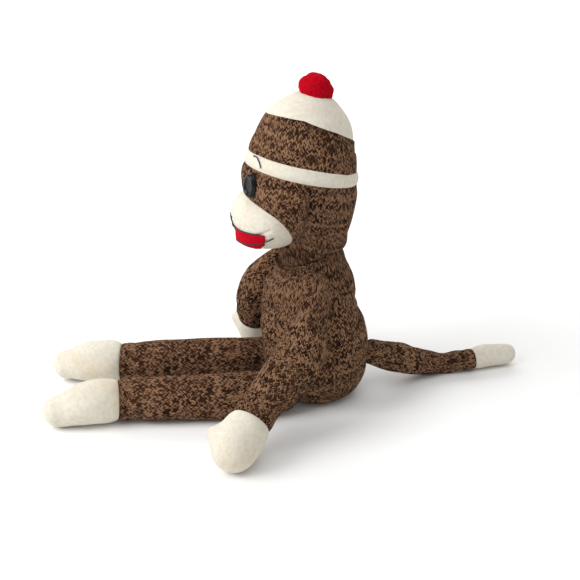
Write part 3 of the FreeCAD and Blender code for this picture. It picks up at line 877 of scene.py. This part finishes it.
# ---- Face --------------------------------------------------------------------------------------

MUZZLE = HEAD @ Matrix.Translation((0, -40.4 * MM, 25.6 * MM)) @ Matrix.Rotation(-HEAD_PITCH, 4, "X")
MUZZLE_HALF = Vector((37.2, 32.6, 27.2)) * MM
CHIN_FULLNESS = 0.45  # how much further forward the chin stands than a round muzzle's
LIP_RECESS = 0.12  # how far the front falls back at the mouth


def muzzle_shape(x, y, z):
    """A point of the muzzle from shares of its half sizes: x to the left, y forward and z up."""
    front = max(0.0, y)
    y += front * (CHIN_FULLNESS * min(0.0, z) ** 2 - LIP_RECESS * math.exp(-((z + 0.45) / 0.25) ** 2))
    return MUZZLE @ Vector((x * MUZZLE_HALF.x, -y * MUZZLE_HALF.y, z * MUZZLE_HALF.z))


def muzzle_point(side_angle, up_angle, proud=0.0):
    """A point of the muzzle, by its degrees to the left of the front and above the middle."""
    turn, rise = math.radians(side_angle), math.radians(up_angle)
    point = muzzle_shape(math.sin(turn) * math.cos(rise), math.cos(turn) * math.cos(rise), math.sin(rise))
    return point + (point - MUZZLE.translation).normalized() * proud


def muzzle_at(x, z, proud=0.0):
    """The point of the muzzle's front so far left of and above its middle, as shares of its half sizes."""
    point = muzzle_shape(x, math.sqrt(max(0.0, 1 - x * x - z * z)), z)
    return point + (point - MUZZLE.translation).normalized() * proud


def make_muzzle():
    around, count = 96, 56
    turns = [2 * math.pi * k / around for k in range(around)]
    rings = []
    for i in range(1, count):
        polar = math.pi * i / count - math.pi / 2
        wide = math.cos(polar)
        rings.append([list(muzzle_shape(math.sin(polar), wide * math.cos(a), wide * math.sin(a)))
                      for a in turns])
    rings = lumpy(rings, list(MUZZLE.translation), 0.8 * MM, 20 * MM, 6.1)
    piece = grid_piece("muzzle_skin", rings, "fleece")
    subdivide(piece)
    crease_darts(piece)
    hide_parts("muzzle_shell", "muzzle_stuffing")
    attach(piece, "head")


DART = ((50, -24), (66, -17), (84, -8))  # degrees left of the front and above the middle
DART_WIDTH = 1.4 * MM
DART_DEPTH = 1.3 * MM


def crease_darts(piece):
    """Presses a sewn dart into each cheek of the muzzle."""
    points = coordinates(piece)
    middle = np.array(MUZZLE.translation)
    for sign in SIDES.values():
        line = np.array(smooth_line([muzzle_point(sign * turn, rise) for turn, rise in DART], 1 * MM))
        far = np.linalg.norm(points[:, None] - line[None], axis=2).min(axis=1)
        depth = DART_DEPTH * np.exp(-(far / DART_WIDTH) ** 2)
        inwards = middle - points
        points += inwards / np.linalg.norm(inwards, axis=1, keepdims=True) * depth[:, None]
    set_coordinates(piece, points)


LIP_TOP = ((0.0, -0.26), (0.5, -0.25), (0.8, -0.27), (0.93, -0.29))
LIP_LOW = ((0.0, -0.93), (0.3, -0.91), (0.55, -0.81), (0.75, -0.64), (0.87, -0.45), (0.92, -0.33),
           (0.93, -0.29))


def lip_height(outline, x):
    xs, zs = zip(*outline)
    return float(np.interp(abs(x), xs, zs))


def make_mouth():
    across, tall = 72, 14
    wide = LIP_TOP[-1][0]
    rings = []
    for i in range(across + 1):
        x = wide * math.sin(math.pi / 2 * (2 * i / across - 1)) * 0.999
        low, high = lip_height(LIP_LOW, x), lip_height(LIP_TOP, x)
        front = [muzzle_at(x, low + (high - low) * k / tall, 1.1 * MM) for k in range(tall + 1)]
        back = [muzzle_at(x, low + (high - low) * k / tall, -1.2 * MM) for k in range(tall, -1, -1)]
        rings.append([list(p) for p in (*front, *back)])
    piece = grid_piece("mouth_felt", rings, "felt")
    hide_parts("mouth_patch")
    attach(piece, "head")


def make_smile():
    middle = [(x, -0.70 + 0.12 * x * x + 0.33 * x ** 6) for x in np.linspace(-0.95, 0.95, 25)]
    line = [muzzle_at(x, z, 1.3 * MM) for x, z in middle]
    outline = [muzzle_at(x, lip_height(LIP_TOP, x) + 0.01, 1.0 * MM) for x in np.linspace(-0.93, 0.93, 21)]
    piece = thread_piece("smile_line", [line, outline], 0.5 * MM, "black")
    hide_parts("smile_thread")
    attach(piece, "head")


def make_nostrils():
    lines = []
    for sign in SIDES.values():
        curl = [(sign * (8 + 3.5 * math.cos(math.radians(a))), -2 + 4.5 * math.sin(math.radians(a)))
                for a in (40, 90, 140, 180, 220, 270, 320)]
        lines.append([muzzle_point(turn, rise, 0.2 * MM) for turn, rise in curl])
    piece = thread_piece("nose_stitches", lines, 0.55 * MM, "black")
    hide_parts("nostril_stitches")
    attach(piece, "head")


EYE_ANGLE = math.radians(30)
EYE_UP = 52.5 * MM
EYE_HALF = (7.6 * MM, 10.5 * MM)
# Share of the half size, and mm above the face.
EYE_PROFILE = ((0.97, -0.6), (1.0, 0.3), (0.99, 1.2), (0.93, 2.6), (0.85, 3.6), (0.77, 4.0), (0.69, 3.9),
               (0.60, 3.3), (0.48, 2.9), (0.30, 2.8), (0.12, 2.85))


def make_eye(side):
    angle = SIDES[side] * EYE_ANGLE
    out = head_out(angle, EYE_UP)
    centre = head_point(angle, EYE_UP) - out * 0.2 * MM
    up = (HEAD_UP - out * HEAD_UP.dot(out)).normalized()
    across = up.cross(out)
    rings = []
    for share, height in ((0.3, -3.0), (0.8, -2.5), *EYE_PROFILE):
        rings.append([list(centre + out * height * MM + across * EYE_HALF[0] * share * math.cos(a)
                           + up * EYE_HALF[1] * share * math.sin(a))
                      for a in (2 * math.pi * k / 64 for k in range(64))])
    piece = grid_piece(f"{side}_eye_button", rings, "eye")
    subdivide(piece)
    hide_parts(f"{side}_eye")
    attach(piece, "head")
    washer = frame["nodes"][f"{side}_eye_washer"]
    washer.data.materials.clear()
    washer.data.materials.append(FINISH["washer"])


# Degrees from the front, and mm up the head.
BROW = ((27, 75.9), (31, 76.4), (35, 74.9), (39, 72.2), (41.6, 69.4))


def make_brow(side):
    sign = SIDES[side]
    line = [head_point(sign * math.radians(angle), up * MM, 2.3 * MM) for angle, up in BROW]
    knot = [line[0] + HEAD_UP * 0.8 * MM, line[0] - HEAD_UP * 0.8 * MM]
    piece = thread_piece(f"{side}_brow_stitch", [line, knot], 0.5 * MM, "black")
    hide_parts(f"{side}_brow")
    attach(piece, "head")


def make_ear(side):
    """A cupped pad of two layers, stitched round just inside its edge."""
    name = f"{side}_ear"
    sign = SIDES[side]
    points = np.array([v.co for v in frame["nodes"][name].data.vertices], float)
    centre = Vector((points.max(axis=0) + points.min(axis=0)) / 2)
    spread = np.linalg.eigh(np.cov((points - points.mean(axis=0)).T))[1]
    thin, across, tall = (Vector(spread[:, k]) for k in range(3))
    tall = tall if tall.z > 0 else -tall
    across = across if across.x * sign > 0 else -across
    thin = thin if thin.y < 0 else -thin
    reach = [max(abs((Vector(p) - centre).dot(axis)) for p in points) for axis in (across, tall, thin)]
    rings = []
    shares = [0.12, 0.3, 0.5, 0.66, 0.76, 0.81, 0.86, 0.92, 0.97, 1.0]
    for share in shares[:-1]:
        rings.append((share, 1))
    rings.append((1.0, 0))
    rings += [(share, -1) for share in reversed(shares[:-1])]
    made = []
    for share, face in rings:
        plump = 0.62 * (1 - share ** 4) + 0.12 - 0.30 * math.exp(-((share - 0.81) / 0.045) ** 2)
        cup = 0.55 * (share ** 2 - 0.5)
        row = []
        for k in range(72):
            a = 2 * math.pi * k / 72
            height = (face * plump * 0.55 + cup) * reach[2]
            row.append(list(centre + across * reach[0] * 1.08 * share * math.cos(a)
                            + tall * reach[1] * 1.02 * share * math.sin(a) + thin * height))
        made.append(row)
    piece = grid_piece(f"{side}_ear_pad", made, "knit")
    subdivide(piece)
    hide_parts(name)
    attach(piece, name)


# ---- Limbs -------------------------------------------------------------------------------------

def near_vertices(node, place, reach):
    points = np.array([v.co for v in frame["nodes"][node].data.vertices], float)
    return points[np.linalg.norm(points - np.array(place), axis=1) < reach]


def seam_ring(limb, node):
    """The first ring of a limb that lies in its end piece."""
    for i, point in enumerate(limb.line):
        direction = limb.direction(i, math.pi / 2)
        reach = outer([node], point, direction, 60 * MM)
        if reach is not None and reach > limb.radii[i] * 0.8:
            return i
    return len(limb.line) - 2


SEAM_SCALE = 0.93


def sleeve_rings(limb, last, root_reach):
    """The knitted part: a rounded root, then rings up to the seam, then a closing disc."""
    rings = limb.dome(0, root_reach, backwards=True)
    scales = [1.0] * (last + 1)
    for k, scale in enumerate((SEAM_SCALE, 0.97, 0.99)):
        scales[last - k] = scale
    rings += [limb.ring(i, scales[i]) for i in range(last + 1)]
    rings += [limb.ring(last, s) for s in (0.85, 0.5)]
    return np.array([[list(p) for p in ring] for ring in rings])


def end_rings(limb, first):
    """The fleece part: a closing disc at the seam, then rings to the rounded tip."""
    rings = [limb.ring(first, s) for s in (0.5, 0.85, SEAM_SCALE)]
    rings += [limb.ring(i, 0.985 if i == first + 1 else 1.0) for i in range(first + 1, len(limb.line))]
    rings += limb.dome(len(limb.line) - 1, limb.tip_reach)
    return np.array([[list(p) for p in ring] for ring in rings])


def raise_floor(points):
    """Nothing lies lower than the seat's plane."""
    points = np.array(points)
    low = 0.3 * MM
    points[..., 2] = np.maximum(points[..., 2], low)
    return points


def make_limb(body, shell, filling, end, joint, name, swell):
    """One arm, leg or tail: a stuffed knitted sleeve, and the rings for its fleece end."""
    root = joint_place(joint)
    near = near_vertices(shell, root, 32 * MM).mean(axis=0)
    limb = Limb([shell, end], root, Vector(near) - root)
    seam = seam_ring(limb, end)
    sleeve = sleeve_rings(limb, seam, limb.radii[0])
    middles = sleeve.mean(axis=1, keepdims=True)
    body_rings = slice(3, len(sleeve) - 5)
    seed = sum(map(ord, name)) * 0.1
    sleeve[body_rings] = lumpy(sleeve[body_rings], middles[body_rings], 0.8 * MM, 20 * MM, seed)
    piece = grid_piece(name, raise_floor(sleeve), "knit")
    count = len(piece.data.vertices)
    held = [*range(2 * RING_POINTS), *range((len(sleeve) - 4) * RING_POINTS, count)]
    stuff(piece, held, swell)
    set_coordinates(piece, raise_floor(coordinates(piece)))
    subdivide(piece)
    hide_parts(shell, filling)
    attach(piece, body)
    return limb, end_rings(limb, seam)


def finish_end(name, tip, body, node, seed):
    """The fleece hand, foot or tail tip."""
    middles = tip.mean(axis=1, keepdims=True)
    tip[4:-2] = lumpy(tip[4:-2], middles[4:-2], 0.9 * MM, 13 * MM, seed)
    piece = grid_piece(name, raise_floor(tip), "fleece")
    stuff(piece, range(4 * RING_POINTS), 2 * MM, slack=0.01)
    subdivide(piece)
    set_coordinates(piece, raise_floor(coordinates(piece)))
    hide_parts(node)
    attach(piece, body)
    return piece


def bump_out(piece, place, direction, height, width):
    """Pushes the fabric out round a place, along a direction."""
    points = coordinates(piece)
    far = np.linalg.norm(points - np.array(place), axis=1)
    points += np.array(direction)[None] * (height * np.exp(-(far / width) ** 2))[:, None]
    set_coordinates(piece, points)


def make_root_roll(name, node, body, centre, axis_point):
    """A gathered roll of fabric where a limb is sewn to the torso."""
    heading = (axis_point - centre).normalized()
    points = np.array([v.co for v in frame["nodes"][node].data.vertices], float)
    out = points - np.array(centre)
    along = out @ np.array(heading)
    radius = np.linalg.norm(out - along[:, None] * np.array(heading), axis=1)
    ring_radius = (radius.max() + radius.min()) / 2
    roll = max((radius.max() - radius.min()) / 2, 1.0 * MM)
    side = heading.orthogonal().normalized()
    other = heading.cross(side)
    start = centre + heading * float(along.mean())
    rings = []
    for i in range(64):
        a = 2 * math.pi * i / 64
        out_way = side * math.cos(a) + other * math.sin(a)
        gather = 1 + 0.10 * math.sin(16 * a)
        thick = roll * gather
        section = [(thick * math.cos(b), thick * math.sin(b)) for b in (2 * math.pi * k / 12 for k in range(12))]
        rings.append([list(start + out_way * (ring_radius + x) + heading * y) for x, y in section])
    rings.append(rings[0])
    piece = grid_piece(name, rings, "knit", caps=(False, False))
    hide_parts(node)
    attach(piece, body)


def make_limbs():
    for side in SIDES:
        limb, tip = make_limb(f"{side}_arm", f"{side}_arm_shell", f"{side}_arm_stuffing", f"{side}_hand",
                              f"{side}_arm_swing", f"{side}_sleeve", 3 * MM)
        hand = finish_end(f"{side}_mitten", tip, f"{side}_arm", f"{side}_hand", 7.0)
        thumb_place = limb.line[-3] + Vector((-0.3, -0.9, 0.3)).normalized() * limb.radii[-3]
        bump_out(hand, thumb_place, Vector((-0.25, -0.9, 0.35)).normalized(), 7 * MM, 8 * MM)
        _, tip = make_limb(f"{side}_leg", f"{side}_leg_shell", f"{side}_leg_stuffing", f"{side}_foot",
                           f"{side}_leg_lift", f"{side}_trouser", 3 * MM)
        finish_end(f"{side}_bootee", tip, f"{side}_leg", f"{side}_foot", 11.0)
        make_root_roll(f"{side}_shoulder_roll", f"{side}_shoulder_seam", f"{side}_shoulder",
                       joint_place(f"{side}_arm_swing"), box_middle(f"{side}_shoulder_seam"))
        make_root_roll(f"{side}_hip_roll", f"{side}_hip_seam", f"{side}_hip",
                       joint_place(f"{side}_leg_lift"), box_middle(f"{side}_hip_seam"))
    _, tip = make_limb("tail", "tail_shell", "tail_stuffing", "tail_tip", "tail_lift", "tail_sleeve", 2 * MM)
    finish_end("tail_end", tip, "tail", "tail_tip", 13.0)
    make_root_roll("tail_roll", "tail_seam", "tail_root", joint_place("tail_lift"), box_middle("tail_seam"))


# ---- The whole ---------------------------------------------------------------------------------

make_camera()
make_studio()
measure_head()
make_torso()
make_face()
make_band()
make_cuff()
make_hat_side()
make_crown()
make_pompom()
make_muzzle()
make_mouth()
make_smile()
make_nostrils()
for side in SIDES:
    make_eye(side)
    make_brow(side)
    make_ear(side)
make_limbs()
